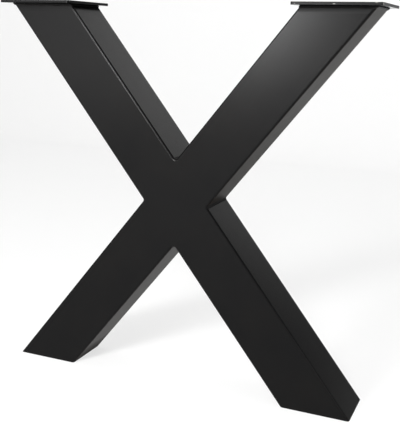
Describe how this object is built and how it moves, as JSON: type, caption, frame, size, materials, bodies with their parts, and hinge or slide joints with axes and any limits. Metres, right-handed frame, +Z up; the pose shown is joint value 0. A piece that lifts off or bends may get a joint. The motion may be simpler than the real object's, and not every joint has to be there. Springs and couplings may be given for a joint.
{
  "type": "x-shaped table leg",
  "caption": "X-shaped table leg welded from square steel tube, with a drilled mounting plate on each upper end and closed level feet, powder-coated satin black.",
  "frame": {"origin": "on the floor, below the crossing of the X: midway between the two feet and in the middle of the leg's depth", "axes": "+Z up from the floor to the table top, +X across the leg from the left to the right plate as seen from the front, +Y from the front to the rear"},
  "size_m": [0.72, 0.15, 0.72],
  "materials": {
    "powder_coat": "satin black powder coat on steel"
  },
  "bodies": {
    "root": {"through_tube": "powder_coat", "upper_branch_tube": "powder_coat", "lower_branch_tube": "powder_coat", "left_mounting_plate": "powder_coat", "right_mounting_plate": "powder_coat", "left_foot_cap": "powder_coat", "right_foot_cap": "powder_coat", "upper_joint_weld": "powder_coat", "lower_joint_weld": "powder_coat", "left_plate_weld": "powder_coat", "right_plate_weld": "powder_coat"}
  },
  "joints": []
}
